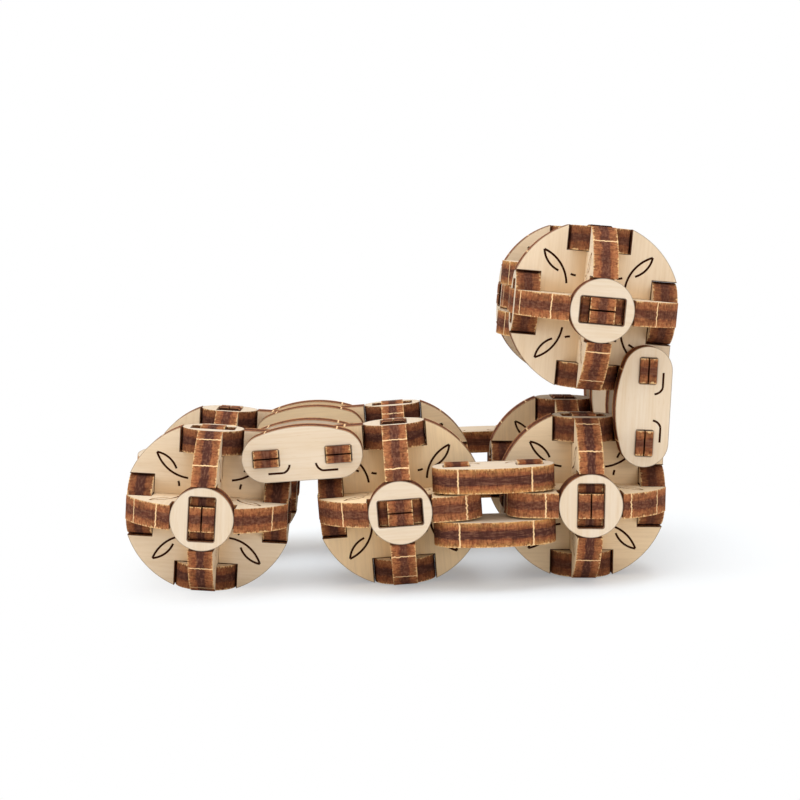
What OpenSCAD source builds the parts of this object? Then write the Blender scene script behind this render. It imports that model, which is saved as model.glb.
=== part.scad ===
// Folding cube puzzle: eight plywood balls in a closed ring, joined by eight two-pin links.
// It stands as a flat two-by-four block of balls with one end pair folded up onto its neighbours.
// Each ball is three crossing discs, slotted together and locked by a cap on each of its six poles.

/* [Sheet] */
// Thickness of the plywood sheet that every piece is cut from
ply = 4; // [3:0.1:4.6]
// Clearance on each side of a fixed slot or seat
fit = 0.05; // [0.02:0.01:0.15]
// Width of the saw line between two halves that share a disc or a pin
kerf = 0.28; // [0.04:0.02:0.3]

/* [Ball] */
// Outer radius of a disc
disc_r = 14.2; // [13.6:0.1:15]
// Depth of a cap's face below the rim of the discs
cap_sunk = 1; // [0.6:0.1:1.4]
// Wood between the end of a cap's hole and its rim
cap_rim = 1.53; // [1.2:0.01:1.7]
// Distance from the centre of a ball to the inner end of a crossing slot
lap = 5; // [4:0.1:6.5]
// Width of each side tenon that holds a cap beside the middle one
side_w = 1.45; // [0.8:0.05:1.6]
// Height that the middle tenon stands proud of its cap
tenon_rise = 0.3; // [0:0.05:0.6]
// Depth of a side tenon's end below the face of its cap
side_drop = 0.9; // [0.5:0.1:2.5]
// Clearance round the tenons in a cap's hole
hole_play = 0.12; // [0.1:0.01:0.2]
// Radius of the corners of a cap's hole
hole_corner = 0.35; // [0.1:0.05:0.35]
// Length of the corner that a tenon's end is relieved by
tenon_nose = 0.35; // [0.1:0.05:0.6]

/* [Link] */
// Reach of a disc's lug beyond its pin, which is also the radius of its corner
lug_end = 3.9; // [3.6:0.1:4.2]
// Gap between the caps of two balls that lie side by side
ball_gap = 4; // [3:0.1:6]
// How much farther than a lug a plate reaches beyond its pin
plate_over = 0.05; // [0:0.05:0.2]
// Thickness of each half of a pin where it passes a plate
pin_half = 1.35; // [1:0.05:1.5]
// Height of the shoulder on each half of a pin, which spaces the two plates
shoulder = 0.3; // [0.15:0.05:0.4]
// Height that a pin stands proud of its plates
pin_rise = 0.5; // [0:0.05:0.8]
// Clearance at each end of a pin in a plate's slot
pin_end_play = 0.15; // [0.12:0.01:0.25]
// Radius of the corners of a plate's slots
slot_corner = 0.25; // [0.1:0.05:0.25]

/* [Engraving] */
// Width of an engraved line
line_w = 0.36; // [0.2:0.02:0.4]
// Depth of an engraved line
line_depth = 0.12; // [0.04:0.02:0.2]
// Gap between the tip of an engraved leaf and the rim of its disc
leaf_gap = 1.6; // [1.2:0.1:2]
// Gap between an engraved leaf and the pin's hole in a lug
leaf_clear = 0.5; // [0.3:0.1:1]
// Depth of the straight part of a plate's engraved hook below the middle of its pin
hook_drop = 2.5; // [2.2:0.1:2.8]

/* [Pivot] */
// Clearance between the corners of a pin and its round hole in a disc
pivot_play = 0.2; // [0.1:0.01:0.25]
// Clearance between a disc and the plate on each side of it
pivot_gap = 0.3; // [0.25:0.01:0.5]
// Angle from straight at which a link's arched side meets the cap beside it
fold_stop = 88; // [86:0.5:89]
// Clearance of the arched side from the cap's rim at that angle
arch_clear = 0.03; // [0.02:0.01:0.1]

/* [Pose] */
// Angle that the first ball leans by, clockwise from the front
angle_1 = 5.3; // [0:0.1:7]
// Angle that the second ball leans by
angle_2 = -2.4; // [-3:0.1:0]
// Angle that the third ball leans by
angle_3 = 2.4; // [0:0.1:3]
// Angle that the fourth ball leans by, folded up onto the third
angle_4 = 6.8; // [5:0.1:10]
// Angle that the link between the first and second balls leans by
angle_12 = -2; // [-3:0.1:0]
// Angle that the upright link between the third and fourth balls leans by
angle_34 = 4.6; // [4.4:0.1:7]

/* [Hidden] */
$fn = 96;

face = disc_r - cap_sunk;
seat = face - ply;
pin_off = face - lug_end;
link_len = 2 * lug_end + ball_gap;
plate_end = lug_end + plate_over;
pitch = 2 * pin_off + link_len;
slot_w = ply + 2 * fit;
reach = 2 * disc_r;

pin_mid = pin_half + shoulder;
pin_hole_r = norm([ply / 2, pin_mid]) + pivot_play;
plate_in = ply / 2 + pivot_gap;
pin_tip = plate_in + ply + pin_rise;

hole_w = ply + 2 * hole_play;
hole_len = ply + 2 * (side_w + hole_play);
cap_d = hole_len + 2 * cap_rim;
notch_w = cap_d + 2 * fit;

// The corner of a cap that an arched side folds towards, seen from the pin
cap_reach = pin_off - sqrt(pow(cap_d / 2, 2) - pow(plate_in, 2));
short_of_square = 90 - fold_stop;
rim_along = (face - pin_off) * cos(short_of_square) - cap_reach * sin(short_of_square);
rim_across = cap_reach * cos(short_of_square) + (face - pin_off) * sin(short_of_square);

// The arc that is tangent to both round ends and just clears that corner at the end of the fold
arch_top = rim_across - arch_clear;
arch_near = link_len / 2 - rim_along;
arch_m = arch_top / plate_end;
arch_k = (pow(arch_near, 2) + pow(arch_top, 2) - pow(link_len / 2, 2) - pow(plate_end, 2))
    / (2 * plate_end);
arch_root = sqrt(pow(arch_k, 2) + (pow(arch_m, 2) - 1) * pow(link_len / 2, 2));
arch_y = (arch_k * arch_m - arch_root) / (pow(arch_m, 2) - 1);
arch_r = norm([link_len / 2, arch_y]) + plate_end;

// A leaf's tip and the inner ends of its two strokes and its dash, along and across the saw line
leaf_tip = (disc_r - leaf_gap) * [sqrt(0.5), sqrt(0.5)];
back_end = [3.6, 4.82];
front_end = [5.59, 6.29];
dash_ends = [[5.21, 4.26], [5.03, 3.39]];
back_bulge = -0.97;
front_bulge = 0.58;
dash_bulge = 0.05;

// An engraved hook's start, corner and end, from the middle of its pin towards the other pin
hook_start = [0.2, -hook_drop];
hook_corner = [2.7, -hook_drop];
hook_end = [3.75, -1.2];
hook_bulge = 0.25;

// Places in the front row, as [x, z, angle] seen from the front with x to the right and z up
function turned(a, x, z) = [x * cos(a) + z * sin(a), z * cos(a) - x * sin(a)];
function from_pin(pin, a, x, z) = let (d = turned(a, x, z)) [pin[0] - d[0], pin[1] - d[1], a];
function pin_of(ball, x, z) = let (d = turned(ball[2], x, z)) [ball[0] + d[0], ball[1] + d[1]];
function next_pin(pin, a, x, z) = let (d = turned(a, x, z)) [pin[0] + d[0], pin[1] + d[1]];
function middle(a, b, lean) = [(a[0] + b[0]) / 2, (a[1] + b[1]) / 2, lean];

// Height of a leaning ball's centre above the surface that it stands on
function stand(a) = max(
    (face + tenon_rise) * cos(a) + (ply / 2 - tenon_nose) * sin(abs(a)),
    face * cos(a) + notch_w / 2 * sin(abs(a))
);

angle_23 = (angle_2 + angle_3) / 2;
raw_3 = [0, stand(angle_3), angle_3];
pin_32 = pin_of(raw_3, -pin_off, 0);
pin_23 = next_pin(pin_32, angle_23, -link_len, 0);
raw_2 = from_pin(pin_23, angle_2, pin_off, 0);
pin_21 = pin_of(raw_2, -pin_off, pin_off);
pin_12 = next_pin(pin_21, angle_12, -link_len, 0);
raw_1 = from_pin(pin_12, angle_1, pin_off, pin_off);
pin_34 = pin_of(raw_3, pin_off, pin_off);
pin_43 = next_pin(pin_34, angle_34, 0, link_len);
raw_4 = from_pin(pin_43, angle_4, pin_off, -pin_off);

// The row is centred left to right between the first ball's and the fourth ball's outer discs
far_left = raw_1[0] - disc_r;
far_right = raw_4[0] + face + tenon_rise;
shift_x = -(far_left + far_right) / 2;
function shifted(p) = [p[0] + shift_x, p[1], p[2]];
row = [for (p = [raw_1, raw_2, raw_3, raw_4]) shifted(p)];
span_12 = shifted(middle(pin_12, pin_21, angle_12));
span_23 = shifted(middle(pin_23, pin_32, angle_23));
span_34 = shifted(middle(pin_34, pin_43, angle_34 - 90));
side_1 = concat(pin_of(row[0], -pin_off, 0), angle_1);
side_4 = concat(pin_of(row[3], -pin_off, 0), angle_4);

front_y = -pitch / 2;
back_y = pitch / 2;

// Balls 1 to 4 stand in the front row and 5 to 8 come back behind them
// Each ball has its place in the row, its row, its turn and the side of its second lug
BALLS = [
    [row[0], front_y, [0, 0, 0], 1],
    [row[1], front_y, [90, 0, 0], 1],
    [row[2], front_y, [0, 0, 0], -1],
    [row[3], front_y, [90, 0, 180], -1],
    [row[3], back_y, [180, 0, 0], 1],
    [row[2], back_y, [90, 0, 180], 1],
    [row[1], back_y, [0, 0, 180], -1],
    [row[0], back_y, [90, 180, 0], -1]
];

// Each link has its name, its place in the row, its depth and its turn
LINKS = [
    ["12", span_12, front_y, [90, 0, 0]],
    ["23", span_23, front_y - pin_off, [180, 0, 0]],
    ["34", span_34, front_y, [90, 0, 0]],
    ["45", side_4, 0, [0, 0, 90]],
    ["56", span_34, back_y, [90, 0, 0]],
    ["67", span_23, back_y + pin_off, [0, 0, 0]],
    ["78", span_12, back_y, [90, 0, 0]],
    ["81", side_1, 0, [0, 0, 90]]
];

BALL_PARTS = ["lug_halves", "cross_halves", "quarters", "caps"];
LINK_PARTS = ["left_plate", "right_plate", "pins"];

// A thing seen from the front at its place in a row, leaning about the cross axis
module at_place(place, depth, turn) {
    translate([place[0], depth, place[1]])
        rotate([0, place[2], 0])
            rotate(turn)
                children();
}

// Turns X to Y, Y to Z and Z to X, as many times as asked
module cycle(times) {
    if (times > 0) {
        rotate([90, 0, 90]) cycle(times - 1) children();
    } else {
        children();
    }
}

// Outline of a whole disc with its four notches, and a squared lug in one quarter if asked
module disc_outline(lug_y = 0) {
    difference() {
        union() {
            circle(disc_r);
            if (lug_y != 0) {
                scale_y(lug_y) lug_outline();
            }
        }
        for (quarter = [0:3]) {
            rotate(90 * quarter)
                translate([seat, -notch_w / 2])
                    square([reach, notch_w]);
        }
        if (lug_y != 0) {
            translate([pin_off, lug_y * pin_off]) circle(pin_hole_r);
        }
    }
}

// Mirrors an outline top to bottom when the side is minus one
module scale_y(side) {
    mirror([0, side < 0 ? 1 : 0]) children();
}

module lug_outline() {
    square([pin_off, face]);
    square([face, pin_off]);
    translate([pin_off, pin_off]) circle(face - pin_off);
}

// An engraved line from one point to another that bows out to the right, or to the left if minus
module arc_line(from, to, bulge) {
    chord = to - from;
    right = [chord[1], -chord[0]] / norm(chord);
    radius = (pow(norm(chord) / 2, 2) + pow(bulge, 2)) / (2 * bulge);
    hub = (from + to) / 2 + right * (bulge - radius);
    difference() {
        intersection() {
            translate(hub) circle(abs(radius) + line_w / 2);
            polygon([hub, 3 * from - 2 * hub, 3 * to - 2 * hub]);
        }
        translate(hub) circle(abs(radius) - line_w / 2);
    }
}

// A slim open leaf in the first quarter of a disc, with the saw line along X
module leaf() {
    arc_line(leaf_tip, back_end, back_bulge);
    arc_line(leaf_tip, front_end, front_bulge);
    arc_line(dash_ends[0], dash_ends[1], dash_bulge);
}

// The leaf beside a lug, which stops short of the pin's hole
module lug_leaf() {
    difference() {
        leaf();
        translate([pin_off, pin_off]) circle(pin_hole_r + leaf_clear);
    }
}

// Grooves of an outline in both faces of a sheet that lies flat round the origin
module engraved() {
    for (side = [0, 1]) {
        mirror([0, 0, side])
            translate([0, 0, ply / 2 - line_depth])
                linear_extrude(ply)
                    children();
    }
}

// A tenon that stands up from a notch floor, between two widths, with relieved outer corners
module tenon(from, to, tip, nose_from, nose_to) {
    root = seat - ply / 2;
    polygon([
        [from, root],
        [to, root],
        [to, tip - nose_to],
        [to - nose_to, tip],
        [from + nose_from, tip],
        [from, tip - nose_from]
    ]);
}

// The half of a middle tenon that lies to the right of the saw line
module middle_half() {
    tenon(kerf / 2, ply / 2, face + tenon_rise, 0, tenon_nose);
}

// The narrow tenon to the right of the crossing disc
module side_tenon() {
    tenon(ply / 2 + fit, ply / 2 + side_w, face - side_drop, 0, tenon_nose);
}

module both_sides() {
    children();
    mirror([1, 0]) children();
}

// One half of the disc that carries the first lug, above the saw line
module lug_half(lug) {
    rotate([90, 0, 0]) difference() {
        linear_extrude(ply, center = true) difference() {
            union() {
                disc_outline(lug);
                rotate(-90) mirror([1, 0]) middle_half();
                rotate(90) middle_half();
                both_sides() side_tenon();
            }
            translate([-reach, -2 * reach]) square([2 * reach, 2 * reach + kerf / 2]);
            translate([-lap - fit, -ply]) square([2 * (lap + fit), ply + slot_w / 2]);
            translate([-slot_w / 2, lap]) square([slot_w, reach]);
        }
        engraved() mirror([1, 0]) leaf();
        if (lug == 0) {
            engraved() leaf();
        } else {
            engraved() lug_leaf();
        }
    }
}

// One half of the crossing disc, to the right of the saw line
module cross_half(lug_y) {
    difference() {
        linear_extrude(ply, center = true) difference() {
            union() {
                disc_outline(lug_y);
                middle_half();
                mirror([0, 1]) middle_half();
                rotate(-90) both_sides() side_tenon();
            }
            translate([-2 * reach, -reach]) square([2 * reach + kerf / 2, 2 * reach]);
            translate([lap, -slot_w / 2]) square([reach, slot_w]);
        }
        for (side = [-1, 1]) {
            if (side == lug_y) {
                engraved() scale_y(side) mirror([1, -1]) lug_leaf();
            } else {
                engraved() scale_y(side) mirror([1, -1]) leaf();
            }
        }
    }
}

// One quarter of the third disc
module quarter_disc() {
    rotate([90, 0, 90]) difference() {
        linear_extrude(ply, center = true) difference() {
            union() {
                disc_outline();
                middle_half();
                rotate(-90) mirror([1, 0]) side_tenon();
            }
            translate([-2 * reach, -reach]) square([2 * reach + kerf / 2, 2 * reach]);
            translate([-reach, -2 * reach]) square([2 * reach, 2 * reach + slot_w / 2]);
            square([slot_w / 2, lap + fit]);
        }
        engraved() leaf();
    }
}

module lug_halves() {
    color("burlywood") {
        lug_half(1);
        rotate([0, 180, 0]) lug_half(0);
    }
}

module cross_halves(lug_side) {
    color("burlywood") {
        cross_half(0);
        rotate([0, 0, 180]) cross_half(-lug_side);
    }
}

module quarters() {
    color("tan") for (v = [0, 1]) for (w = [0, 1]) {
        mirror([0, v, 0]) mirror([0, 0, w]) quarter_disc();
    }
}

// A slot round the origin with the small round corners that a cut leaves
module rounded_slot(length, width, corner) {
    square([length - 2 * corner, width], center = true);
    square([length, width - 2 * corner], center = true);
    for (x = [-1, 1]) for (y = [-1, 1]) {
        translate([x * (length / 2 - corner), y * (width / 2 - corner)]) circle(corner);
    }
}

module cap() {
    linear_extrude(ply) difference() {
        circle(d = cap_d);
        rounded_slot(hole_len, hole_w, hole_corner);
    }
}

module caps() {
    color("wheat") for (axis = [0:2]) for (side = [0, 1]) {
        cycle(axis) mirror([0, 0, side]) translate([0, 0, seat]) cap();
    }
}

// Outline of a link plate, flat below and arched above, with a slot for each pin
module plate_outline() {
    difference() {
        union() {
            for (side = [-1, 1]) {
                translate([side * link_len / 2, 0]) circle(plate_end);
            }
            translate([-link_len / 2, -plate_end]) square([link_len, plate_end]);
            intersection() {
                translate([0, arch_y]) circle(arch_r);
                polygon([
                    [-link_len / 2, 0],
                    [link_len / 2, 0],
                    [link_len, -arch_y],
                    [-link_len, -arch_y]
                ]);
            }
        }
        for (side = [-1, 1]) {
            translate([side * link_len / 2, 0])
                rounded_slot(ply + 2 * pin_end_play, 2 * (pin_half + fit), slot_corner);
        }
    }
}

// A hook engraved under the pin at the left end of a plate
module hook() {
    translate(hook_start - [0, line_w / 2]) square([hook_corner[0] - hook_start[0], line_w]);
    arc_line(hook_corner, hook_end, hook_bulge);
}

module link_plate(side) {
    color("burlywood") mirror([0, 0, side < 0 ? 1 : 0]) difference() {
        translate([0, 0, plate_in]) linear_extrude(ply) plate_outline();
        translate([0, 0, plate_in + ply - line_depth]) linear_extrude(ply) both_sides() {
            translate([-link_len / 2, 0]) hook();
        }
    }
}

// Half of a flat pin, with a shoulder that keeps the two plates apart
module half_pin() {
    rotate([90, 0, 90]) linear_extrude(ply, center = true) difference() {
        union() {
            square([pin_half, pin_tip]);
            square([pin_mid, plate_in]);
            mirror([0, 1]) square([pin_half, pin_tip]);
            mirror([0, 1]) square([pin_mid, plate_in]);
        }
        translate([0, -reach]) square([kerf / 2, 2 * reach]);
    }
}

module link_pins() {
    color("peru") for (end = [-1, 1]) for (side = [0, 1]) {
        translate([end * link_len / 2, 0, 0]) mirror([0, side, 0]) half_pin();
    }
}

for (i = [0:7]) {
    b = BALLS[i];
    name = str("ball_", i + 1, "_");
    at_place(b[0], b[1], b[2]) lug_halves();
    at_place(b[0], b[1], b[2]) cross_halves(b[3]);
    at_place(b[0], b[1], b[2]) quarters();
    at_place(b[0], b[1], b[2]) caps();
}

for (l = LINKS) {
    name = str("link_", l[0], "_");
    at_place(l[1], l[2], l[3]) link_plate(1);
    at_place(l[1], l[2], l[3]) link_plate(-1);
    at_place(l[1], l[2], l[3]) link_pins();
}
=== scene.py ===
import math

import bpy
from mathutils import Matrix, Vector


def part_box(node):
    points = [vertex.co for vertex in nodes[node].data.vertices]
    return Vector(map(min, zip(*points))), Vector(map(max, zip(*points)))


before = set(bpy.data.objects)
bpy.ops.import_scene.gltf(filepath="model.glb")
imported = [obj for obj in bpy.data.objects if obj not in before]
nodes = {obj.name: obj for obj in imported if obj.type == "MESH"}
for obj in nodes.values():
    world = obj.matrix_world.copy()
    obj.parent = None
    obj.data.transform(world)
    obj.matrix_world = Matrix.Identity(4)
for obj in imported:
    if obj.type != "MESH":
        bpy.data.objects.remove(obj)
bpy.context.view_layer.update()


# The discs.
# Three discs cross in each ball, one split lengthways, one split across and one in quarters.
# They are cut by laser from three-ply birch, which chars their edges, and the caps hold them.
mm = 0.001
ply = 4.0
ply_core = 0.70
fit = 0.05
disc_r = 14.2
cap_sunk = 1.0
cap_face = disc_r - cap_sunk
cap_r = 5.1
notch_floor = cap_face - ply
notch_half = cap_r + fit
lug_end = 3.9
lug_pin = cap_face - lug_end

# Bare birch: its plain and its warm faces, the warm one partly painted warm shade, their grain,
# painted warm shade for the corners and the broken tabs
face_birch = (0.785, 0.643, 0.484, 1)
warm_birch_and_shade = (0.855, 0.655, 0.415, 1)
face_grain = (0.66, 0.492, 0.315, 1)
shaded_birch = (0.74, 0.515, 0.280, 1)
tab_wood = (0.90, 0.62, 0.34, 1)

# How light the discs are in turn, and how far those of each ball turn to warm birch, which on the
# balls that sit most in shade is painted warm shade
disc_tone = (0.98, 0.95, 1.0, 0.96, 0.93, 0.98, 0.94, 1.0)
disc_warmth_and_shade = (0.0, 1.0, 0.6, 0.0, 0.2, 1.0, 0.8, 0.3)

# Char on the cut edges, scorch beside them and soot in the engraved lines
char_outer = (0.242, 0.074, 0.033, 1)
char_core = (0.050, 0.0185, 0.0165, 1)
char_ash = (0.20, 0.088, 0.056, 1)
char_gold = (0.50, 0.214, 0.084, 1)
char_honey = (0.56, 0.290, 0.090, 1)
char_soot = (0.040, 0.013, 0.008, 1)
char_lip = (0.86, 0.562, 0.270, 1)
scorch = (0.055, 0.020, 0.010, 1)
engraved_soot = (0.030, 0.006, 0.001, 1)

# How fine each pattern in the wood is, per millimetre along the grain, across it and through
# the sheet, and how much of the dark grain shows
fine_grain = (0.07, 1.5, 0.05)
broad_grain = (0.03, 0.28, 0.05)
pore_grain = (0.45, 5.0, 0.05)
char_fibres = (0.4, 1.5, 3.0)
beam_ticks = (2.2, 2.2, 0.45)
char_patches = (0.45, 0.45, 0.8)
char_speckle = (3.4, 3.4, 1.5)
fine_share = 0.34
broad_share = 0.3
pore_share = 0.26

# How dark the middle ply is burnt, which differs from piece to piece
core_least = 0.62
core_spread = 0.3
golden_step = 0.618

# The finish of the surface, the depth where a groove begins and the widths of burnt outlines
face_rough = 0.65
edge_rough = 0.9
wood_gloss = 0.07
relief_depth = 0.08
relief_strength = 0.4
groove_start = 0.03
scorch_w = 0.13
rim_scorch = 0.10
rim_strength = 0.5
# Painted warm shade on the faces beside the crossing discs: where it begins, how softly and how
# strongly
corner_shade_start = 3.8
corner_shade_soft = 1.9
corner_shade_strength = 0.6

# Where the small bridges of the sheet were cut, in degrees round each quarter of a rim
rim_band = 0.3
outer_tab = 30.5
inner_tab = 52.5
tab_spread = 7.0
tab_half = 0.42
tab_wander = 2.0
tab_missing = 0.3
tab_ragged = (0.6, 0.6, 2.2)


class Wire:
    """An output socket in a material's node tree, so that shader maths reads as expressions."""

    def __init__(self, tree, socket=None):
        self.tree = tree
        self.socket = socket

    def node(self, kind, settings=None, sockets=None, output=0):
        """A new node of a type, with its settings, then the values or wires of its sockets."""
        made = self.tree.nodes.new("ShaderNode" + kind)
        for key, value in (settings or {}).items():
            setattr(made, key, value)
        for key, value in (sockets or {}).items():
            if isinstance(value, Wire):
                self.tree.links.new(value.socket, made.inputs[key])
            else:
                made.inputs[key].default_value = value
        return Wire(self.tree, made.outputs[output])

    def into(self, socket):
        self.tree.links.new(self.socket, socket)

    def math(self, operation, *others):
        return self.node("Math", {"operation": operation}, dict(enumerate((self, *others))))

    def __add__(self, other):
        return self.math("ADD", other)

    def __radd__(self, other):
        return self.math("ADD", other)

    def __sub__(self, other):
        return self.math("SUBTRACT", other)

    def __rsub__(self, other):
        return self.node("Math", {"operation": "SUBTRACT"}, {0: other, 1: self})

    def __mul__(self, other):
        return self.math("MULTIPLY", other)

    def __rmul__(self, other):
        return self.math("MULTIPLY", other)

    def __abs__(self):
        return self.math("ABSOLUTE")

    def above(self, edge, soft=0.05):
        """0 below the edge and 1 above it, over a soft step."""
        limits = {"Value": self, "From Min": edge - soft, "From Max": edge + soft}
        return self.node("MapRange", {"interpolation_type": "SMOOTHSTEP"}, limits)

    def below(self, edge, soft=0.05):
        return 1 - self.above(edge, soft)

    def joined(self, y, z):
        """A vector from this value and two others."""
        return self.node("CombineXYZ", {}, {"X": self, "Y": y, "Z": z})

    def parts(self):
        """The three values of a vector."""
        split = self.node("SeparateXYZ", {}, {0: self})
        return [Wire(self.tree, socket) for socket in split.socket.node.outputs]

    def noise(self, fineness, shift=(0, 0, 0), detail=2, roughness=0.5, scale=1.0):
        """Noise over a vector, this fine along each of its axes and moved by a shift."""
        sockets = {0: self, 1: fineness, 2: shift}
        place = self.node("VectorMath", {"operation": "MULTIPLY_ADD"}, sockets)
        sockets = {"Vector": place, "Scale": scale, "Detail": detail, "Roughness": roughness}
        return self.node("TexNoise", {}, sockets)

    def swing(self, width):
        """This noise as a swing to both sides of zero."""
        return (self - 0.5) * width

    def colour(self, value):
        made = self.node("RGB")
        made.socket.default_value = value
        return made

    def mixed(self, other, amount):
        """This colour turned into the other one by an amount."""
        sockets = {"Factor": amount, 6: self, 7: other}
        return self.node("Mix", {"data_type": "RGBA"}, sockets, output=2)


def widest_facing(node):
    """The direction in which most of a node's surface faces, whichever the sign."""
    area = {}
    for face in nodes[node].data.polygons:
        n = face.normal
        if tuple(round(c, 2) for c in n) < (0, 0, 0):
            n = -n
        key = tuple(round(c, 2) for c in n)
        area[key] = area.get(key, Vector()) + n * face.area
    return max(area.values(), key=lambda v: v.length).normalized()


def centre_of(node):
    low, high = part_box(node)
    return (low + high) / 2


def squared(across, up):
    """Rotation whose Z is the first direction and whose Y is near the second."""
    z = across.normalized()
    x = up.cross(z).normalized()
    return Matrix((x, z.cross(x), z)).transposed()


def in_sheet(wire, centre, turn):
    """Place and normal in a sheet's own frame, in millimetres, as six wires."""
    angles = turn.to_euler()
    place = wire.node("TexCoord", output="Object")
    place = place.node("VectorMath", {"operation": "SCALE"}, {0: place, "Scale": 1 / mm})
    sockets = {"Vector": place, "Location": centre / mm, "Rotation": angles}
    place = place.node("Mapping", {"vector_type": "TEXTURE"}, sockets)
    facing = wire.node("TexCoord", output="Normal")
    sockets = {"Vector": facing, "Rotation": angles}
    facing = facing.node("Mapping", {"vector_type": "TEXTURE"}, sockets)
    return place.parts() + facing.parts()


def to_round(x, y, half_x, half_y, corner):
    """Distance outside a rectangle whose corners are rounded, by a radius."""
    past_x = (abs(x) - (half_x - corner)).math("MAXIMUM", 0)
    past_y = (abs(y) - (half_y - corner)).math("MAXIMUM", 0)
    return (past_x * past_x + past_y * past_y).math("SQRT") - corner


def birch(name, seed, tone, warm, burn_and_shade, lay):
    """Plywood for one node. tone is how light its faces are, and warm how far they turn to warm
    birch or, below 0, away from it; on pieces that sit in shade this paints warm shade. The next
    value darkens its edges, as char and, on the caps, as painted shade. lay gives u along the
    grain, v across it and w through the sheet from its middle, in millimetres, how squarely the
    surface faces along w, and masks of its marks."""
    material = bpy.data.materials.new(name)
    material.use_nodes = True
    tree = material.node_tree
    shader = tree.nodes["Principled BSDF"]
    place = lay(Wire(tree))
    w = place["w"]
    depth = abs(w)
    spot = place["u"].joined(place["v"], w)

    # Faces: fine straight grain in three widths, painted warm shade in the corners beside the
    # crossing discs, soot in the grooves and scorch along the cuts
    across = (0, seed, 0)
    fine = spot.noise(fine_grain, across, 4, 0.62, scale=1.6)
    broad = spot.noise(broad_grain, across)
    pores = spot.noise(pore_grain, across)
    grain = fine.above(0.54, 0.16) * fine_share + broad.above(0.5, 0.2) * broad_share
    grain = grain + pores.above(0.66, 0.06) * pore_share
    # Pieces in shade turn to the warm birch as painted warm shade; below 0 a piece turns away from
    # it
    sheet = Vector(face_birch).lerp(Vector(warm_birch_and_shade), warm)
    pale = tuple(c * tone for c in sheet[:3]) + (1,)
    dark = tuple(c * tone for c in face_grain[:3]) + (1,)
    face = Wire(tree).colour(pale)
    face = face.mixed(shaded_birch, place.get("corner_shade", 0)).mixed(dark, grain)
    face = face.mixed(engraved_soot, depth.below(ply / 2 - groove_start, 0.01))
    face = face.mixed(scorch, place.get("scorch", 0))

    # Edges: fibres run with the grain, ticks and speckle across it from the beam. Patches push
    # the dark middle ply up and down, and a pale ragged lip is left where the cut meets a face
    through = (0, 0, seed)
    fibres = spot.noise(char_fibres, through, 4, 0.65)
    ticks = spot.noise(beam_ticks, through, 3, 0.65)
    patches = spot.noise(char_patches, through, 5, 0.62)
    speckle = spot.noise(char_speckle, through, 3, 0.75)
    from_core = abs(w + patches.swing(0.9)) + fibres.swing(0.6) + speckle.swing(0.35)
    to_face = depth + ticks.swing(0.9) + speckle.swing(0.8) + patches.swing(0.7)
    core = from_core.below(ply_core, 0.22)
    core_strength = core_least + core_spread * (seed * golden_step % 1)

    # Each mark on an edge has its colour, where it lies and how strong it is
    marks = [
        (char_gold, fibres.above(0.52, 0.10), 0.38),
        (char_gold, to_face.above(1.3, 0.45) * speckle.above(0.44, 0.12), 0.5),
        (char_honey, to_face.above(1.45, 0.35) * speckle.above(0.40, 0.14), place.get("honey", 0)),
        (char_soot, patches.above(0.54, 0.10), 0.45),
        (char_gold, speckle.above(0.59, 0.06), 0.3),
        (char_soot, speckle.below(0.41, 0.06), 0.3),
        (char_core, core, core_strength),
        (char_ash, core * fibres.above(0.55, 0.08), 0.6),
        (char_soot, ticks.above(0.56, 0.07), 0.4),
        # Edges darkened per piece: char, and on the caps also painted shade
        (char_soot, burn_and_shade, 1),
        (char_lip, to_face.above(ply / 2 - 0.07, 0.13), 0.7),
    ]
    if "tab" in place:
        marks.append((tab_wood, place["tab"] * speckle.above(0.36, 0.1), 0.9))
    edge = Wire(tree).colour(char_outer)
    for colour, where, strength in marks:
        if strength:
            edge = edge.mixed(colour, where * strength)

    is_face = place["facing"].above(0.6, 0.1)
    edge.mixed(face, is_face).into(shader.inputs["Base Color"])
    (edge_rough - is_face * (edge_rough - face_rough)).into(shader.inputs["Roughness"])
    face_relief = fine * 0.1 + pores * 0.05
    edge_relief = ticks * 0.4 + fibres * 0.4 + speckle * 0.5
    height = face_relief * is_face + edge_relief * (1 - is_face)
    sockets = {"Strength": relief_strength, "Distance": relief_depth * mm, "Height": height}
    height.node("Bump", {}, sockets).into(shader.inputs["Normal"])
    shader.inputs["Specular IOR Level"].default_value = wood_gloss
    return material


def dress(node, material):
    mesh = nodes[node].data
    mesh.materials.clear()
    mesh.materials.append(material)


def lug_quarter(node, centre, turn):
    """The signs along X and Y of the quarter that a disc's lug stands in, or zeros."""
    sides = Vector((0, 0))
    for vertex in nodes[node].data.vertices:
        place = turn.transposed() @ (vertex.co - centre) / mm
        if place.xy.length > disc_r + 1:
            sides += place.xy
    return [0 if abs(side) < 1 else math.copysign(1, side) for side in sides]


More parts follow.
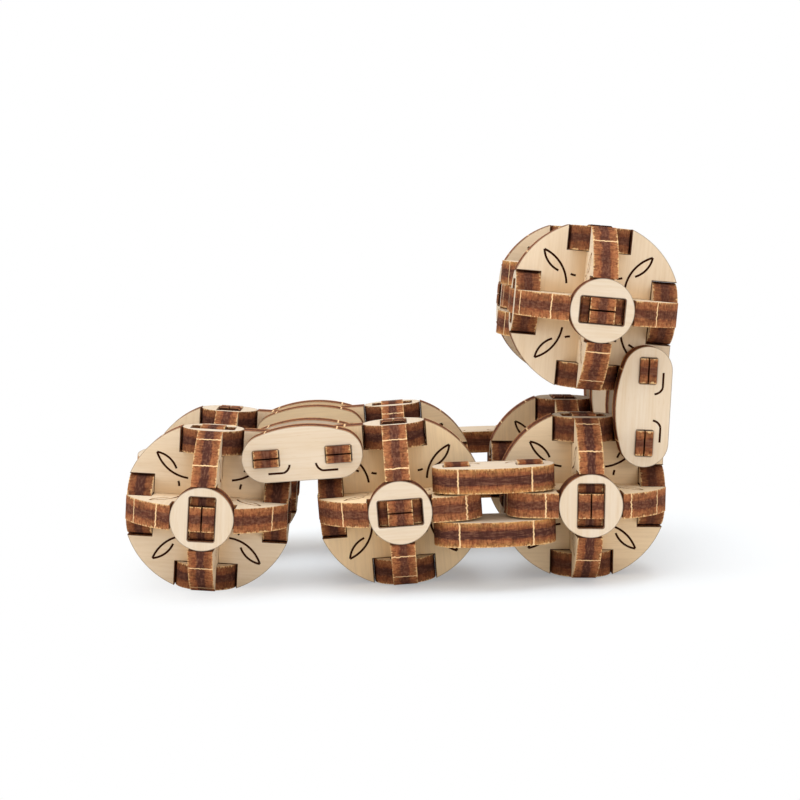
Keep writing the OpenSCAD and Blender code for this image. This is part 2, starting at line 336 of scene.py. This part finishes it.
def disc_lay(centre, turn, seed, lug):
    def lay(wire):
        x, y, z, nx, ny, nz = in_sheet(wire, centre, turn)
        r = (x * x + y * y).math("SQRT")

        # Two tab marks across each quarter of the rim, drawn anew for each quarter
        quarter = x.above(0, 0.01) + y.above(0, 0.01) * 2 + seed
        first = quarter.node("TexWhiteNoise", {"noise_dimensions": "1D"}, {"W": quarter})
        second = quarter.node("TexWhiteNoise", {"noise_dimensions": "1D"}, {"W": quarter + 50})
        round_rim = abs(y).math("ARCTAN2", abs(x)) * math.degrees(1)
        ragged = x.joined(y, z).noise(tab_ragged, (0, 0, seed))
        round_rim = round_rim + ragged.swing(tab_wander)
        outer = abs(round_rim - outer_tab - first.swing(tab_spread)).below(tab_half, 0.15)
        inner = abs(round_rim - inner_tab - second.swing(tab_spread)).below(tab_half, 0.15)
        tab = outer * second.above(tab_missing, 0.01) + inner
        tab = tab * r.above(disc_r - rim_band, 0.1)

        # Painted warm shade beside the crossing discs, and scorch at the notches and along the
        # outline
        inner_reach = abs(x).math("MINIMUM", abs(y))
        outer_reach = abs(x).math("MAXIMUM", abs(y))
        corner_shade = inner_reach.below(corner_shade_start, corner_shade_soft) * corner_shade_strength
        burnt = outer_reach.above(notch_floor - scorch_w, 0.04)
        burnt = burnt * inner_reach.below(notch_half + scorch_w, 0.04)
        in_lug = (x * lug[0]).above(0.01, 0.01) * (y * lug[1]).above(0.01, 0.01)
        to_lug = to_round(x, y, lug_pin + lug_end, lug_pin + lug_end, lug_end)
        to_disc = r - disc_r
        to_rim = to_disc + (to_lug - to_disc) * in_lug
        burnt = burnt.math("MAXIMUM", to_rim.above(-rim_scorch, 0.03) * rim_strength)
        marks = {"tab": tab, "corner_shade": corner_shade, "scorch": burnt}
        return {"u": x, "v": y, "w": z, "facing": abs(nz), **marks}

    return lay


# Each piece's seed moves its patterns, so that no two pieces are cut from one place of the sheet
balls = {}
for number in range(1, 9):
    ball = f"ball_{number}"
    centre = centre_of(ball + "_caps")
    lug_way = widest_facing(ball + "_lug_halves")
    cross_way = widest_facing(ball + "_cross_halves")
    quarter_way = widest_facing(ball + "_quarters")
    balls[ball] = centre, lug_way, cross_way
    turns = {
        "lug_halves": squared(lug_way, cross_way),
        "cross_halves": squared(cross_way, quarter_way),
        "quarters": squared(quarter_way, lug_way),
    }
    for order, (part, turn) in enumerate(turns.items()):
        node = f"{ball}_{part}"
        tone = disc_tone[(number + 3 * order) % len(disc_tone)]
        seed = number * 7.3 + order
        lay = disc_lay(centre, turn, seed, lug_quarter(node, centre, turn))
        dress(node, birch(node + "_birch", seed, tone, disc_warmth_and_shade[number - 1], 0, lay))


# The caps.
# Six round caps lock each ball, one on every pole. Each is cut from the same sheet, drops over
# the tenons of the crossing discs and sits in a notch across the other pair.
cap_middle = cap_face - ply / 2
side_tenon = 1.45
hole_play = 0.12
hole_half_w = ply / 2 + hole_play
hole_half_len = hole_half_w + side_tenon
slot_corner = 0.3
cap_tone = 0.91
cap_warm = -0.4
# The caps' edges are darker than the others, partly from char and partly as painted shade, since
# most of them sit down in the notches and the hole
cap_burn_and_shade = 0.35
hole_scorch = 0.85


def cap_lay(centre, turn):
    def lay(wire):
        x, y, z, nx, ny, nz = in_sheet(wire, centre, turn)
        ax, ay, az = abs(x), abs(y), abs(z)
        reach = ax.math("MAXIMUM", ay).math("MAXIMUM", az)
        on_x = (reach - ax).below(0.02, 0.01)
        on_y = (reach - ay).below(0.02, 0.01)
        on_z = (reach - az).below(0.02, 0.01)
        facing = abs(nx) * on_x + abs(ny) * on_y + abs(nz) * on_z
        u = y * on_x + z * on_y + x * on_z
        v = z * on_x + x * on_y + y * on_z
        to_hole = to_round(u, v, hole_half_len, hole_half_w, slot_corner)
        burnt = to_hole.below(scorch_w, 0.05) * hole_scorch
        rim = (u * u + v * v).math("SQRT").above(cap_r - rim_scorch, 0.03)
        burnt = burnt.math("MAXIMUM", rim * rim_strength)
        return {"u": u, "v": v, "w": reach - cap_middle, "facing": facing, "scorch": burnt}

    return lay


for number, (ball, (centre, lug_way, cross_way)) in enumerate(balls.items()):
    node = ball + "_caps"
    lay = cap_lay(centre, squared(cross_way, lug_way))
    dress(node, birch(node + "_birch", number * 5.1 + 40, cap_tone, cap_warm, cap_burn_and_shade, lay))


# The link plates.
# Two plates, flat along one side and arched along the other, make the cheeks of each link.
# They are cut from the same sheet and are a tight fit on the pins, with the lugs between them.
link_names = ("12", "23", "34", "45", "56", "67", "78", "81")
ball_gap = 4.0
half_span = lug_end + ball_gap / 2
plate_over = 0.05
plate_end = lug_end + plate_over
arch_y = -16.73
arch_r = math.hypot(half_span, arch_y) + plate_end
pin_half = 1.35
pin_end_play = 0.15
slot_half_len = ply / 2 + pin_end_play
slot_half_w = pin_half + fit
slot_scorch = 0.6
plate_tab_half = 0.11
plate_tab_wander = 0.35
plate_tab_side = 2.5
plate_tone = 0.93
# How far each link's plates turn to warm birch; the plates of the link at the back, in shade, get
# painted warm shade
plate_warmth_and_shade = (-0.4, -0.4, -0.4, -0.2, -0.2, -0.2, 1.0, -0.4)
plate_honey = 0.5


def plate_lay(centre, turn):
    def lay(wire):
        x, y, z, nx, ny, nz = in_sheet(wire, centre, turn)

        # A tab mark above each pin, across the arched side alone
        ragged = x.joined(y, z).noise(tab_ragged)
        off_tab = abs(abs(x) - half_span + ragged.swing(plate_tab_wander))
        tab = off_tab.below(plate_tab_half, 0.04) * y.above(plate_tab_side, 0.1)

        # Scorch round the slots, and along the round ends, the flat side and the arch
        to_slot = to_round(abs(x) - half_span, y, slot_half_len, slot_half_w, slot_corner)
        burnt = to_slot.below(scorch_w, 0.05) * slot_scorch
        past_pin = (abs(x) - half_span).math("MAXIMUM", 0)
        to_end = (past_pin * past_pin + y * y).math("SQRT") - plate_end
        to_arch = (x * x + (y - arch_y) * (y - arch_y)).math("SQRT") - arch_r
        arched = (abs(x) * -arch_y - (y - arch_y) * half_span).below(0, 0.05) * y.above(0, 0.05)
        to_rim = to_end + (to_arch - to_end) * arched
        burnt = burnt.math("MAXIMUM", to_rim.above(-rim_scorch, 0.03) * rim_strength)
        marks = {"tab": tab, "scorch": burnt, "honey": plate_honey}
        return {"u": x, "v": y, "w": z, "facing": abs(nz), **marks}

    return lay


links = {}
for number, name in enumerate(link_names):
    link = "link_" + name
    centre = centre_of(link + "_pins")
    normal = widest_facing(link + "_left_plate")
    arch_way = widest_facing(link + "_pins")
    arch_side = centre_of(link + "_left_plate") - centre
    if arch_side.dot(arch_way) < 0:
        arch_way = -arch_way
    links[link] = centre, normal, arch_way
    for side in ("left", "right"):
        node = f"{link}_{side}_plate"
        middle = centre + normal * (centre_of(node) - centre).dot(normal)
        lay = plate_lay(middle, squared(normal, arch_way))
        seed = number * 3.7 + 80 + (side == "left") * 1.9
        dress(node, birch(node + "_birch", seed, plate_tone, plate_warmth_and_shade[number], 0, lay))


# The pins.
# Each link turns on two flat pins, each made of two slim halves of the same sheet that a shoulder
# locks between the plates. Only their charred ends show, standing a little proud of the slots.
pin_tone = 0.98
pin_burn = 0.05


def pin_lay(centre, turn):
    def lay(wire):
        x, y, z, nx, ny, nz = in_sheet(wire, centre, turn)
        return {"u": y, "v": z, "w": abs(x) - half_span, "facing": abs(nx)}

    return lay


for number, (link, (centre, normal, arch_way)) in enumerate(links.items()):
    node = link + "_pins"
    lay = pin_lay(centre, squared(normal, arch_way))
    dress(node, birch(node + "_birch", number * 2.3 + 120, pin_tone, 0, pin_burn, lay))


# The studio.
# A plain white sheet of paper lies under the puzzle and glows to pure white away from it, and
# soft light comes from the sky and from wide windows above, to the left and in front.
floor_half = 3.0
floor_bounce = (0.89, 0.865, 0.82, 1)
floor_seen = (0.815, 0.860, 0.908, 1)
paper_rough = 0.95
shadow_centre = (0.015, 0.010, 0)
shadow_near = 0.02
shadow_far = 0.08
near_glow = 0.25
pure_white = (1, 1, 1, 1)

floor_mesh = bpy.data.meshes.new("floor")
corners = [(-floor_half, -floor_half, 0), (floor_half, -floor_half, 0)]
corners += [(floor_half, floor_half, 0), (-floor_half, floor_half, 0)]
floor_mesh.from_pydata(corners, [], [(0, 1, 2, 3)])
floor = bpy.data.objects.new("floor", floor_mesh)
bpy.context.scene.collection.objects.link(floor)

paper = bpy.data.materials.new("white_paper")
paper.use_nodes = True
tree = paper.node_tree
matt = tree.nodes["Principled BSDF"]
matt.inputs["Roughness"].default_value = paper_rough
matt.inputs["Specular IOR Level"].default_value = 0.0
seen = Wire(tree).node("LightPath", output="Is Camera Ray")
Wire(tree).colour(floor_bounce).mixed(floor_seen, seen).into(matt.inputs["Base Color"])
place = Wire(tree).node("TexCoord", output="Object")
away = place.node("VectorMath", {"operation": "DISTANCE"}, {0: place, 1: shadow_centre}, output=1)
limits = {"Value": away, "From Min": shadow_near, "From Max": shadow_far}
fade = away.node("MapRange", {"interpolation_type": "SMOOTHSTEP"}, limits)
glow = seen.node("Emission", {}, {"Color": pure_white, "Strength": 1.0})
share = seen * (fade * (1 - near_glow) + near_glow)
lit = seen.node("MixShader", {}, {0: share, 1: Wire(tree, matt.outputs[0]), 2: glow})
lit.into(tree.nodes["Material Output"].inputs["Surface"])
floor_mesh.materials.append(paper)

sky_white = (1.0, 0.95, 0.88, 1)
sky_light = 0.7
world = bpy.data.worlds.new("studio")
world.use_nodes = True
bpy.context.scene.world = world
tree = world.node_tree
sky = tree.nodes["Background"]
seen = Wire(tree).node("LightPath", output="Is Camera Ray")
(seen * (1 - sky_light) + sky_light).into(sky.inputs["Strength"])
Wire(tree).colour(sky_white).mixed(pure_white, seen).into(sky.inputs["Color"])

window_white = (0.92, 0.965, 1.0)
window_aim = (0, 0, 0.02)


def window(name, place, size, power):
    """A wide soft lamp at a place, turned to the puzzle."""
    data = bpy.data.lights.new(name, "AREA")
    data.shape = "RECTANGLE"
    data.size, data.size_y = size
    data.energy = power
    data.color = window_white
    made = bpy.data.objects.new(name, data)
    made.location = place
    made.rotation_mode = "QUATERNION"
    made.rotation_quaternion = (Vector(window_aim) - Vector(place)).to_track_quat("-Z", "Y")
    bpy.context.scene.collection.objects.link(made)


window("left_window", (-0.86, -0.30, 0.30), (0.4, 0.4), 3.05)
window("top_window", (0.02, -0.10, 0.70), (0.6, 0.6), 3.75)
window("right_window", (0.40, -0.65, 0.16), (0.6, 0.2), 1.25)


# The camera.
# It looks from a little above, straight at the front row, with a short telephoto lens, and
# leans by a couple of degrees so that the row drops to the left.
sensor = 36.0
focal = 75.4
camera_place = Vector((-1.9, -291.6, 57.9)) * mm
camera_yaw = math.radians(0.473)
camera_pitch = math.radians(5.705)
camera_roll = math.radians(-1.968)
data = bpy.data.cameras.new("camera")
data.sensor_width = sensor
data.lens = focal
data.clip_start, data.clip_end = 0.01, 10
camera = bpy.data.objects.new("camera", data)
forward = Vector(
    (
        math.sin(camera_yaw) * math.cos(camera_pitch),
        math.cos(camera_yaw) * math.cos(camera_pitch),
        -math.sin(camera_pitch),
    )
)
right = Vector((math.cos(camera_yaw), -math.sin(camera_yaw), 0))
up = right.cross(forward)
rolled_right = right * math.cos(camera_roll) + up * math.sin(camera_roll)
rolled_up = up * math.cos(camera_roll) - right * math.sin(camera_roll)
axes = Matrix((rolled_right, rolled_up, -forward)).transposed()
camera.rotation_mode = "QUATERNION"
camera.rotation_quaternion = axes.to_quaternion()
camera.location = camera_place
bpy.context.scene.collection.objects.link(camera)
bpy.context.scene.camera = camera

bpy.context.scene.view_settings.view_transform = "Standard"
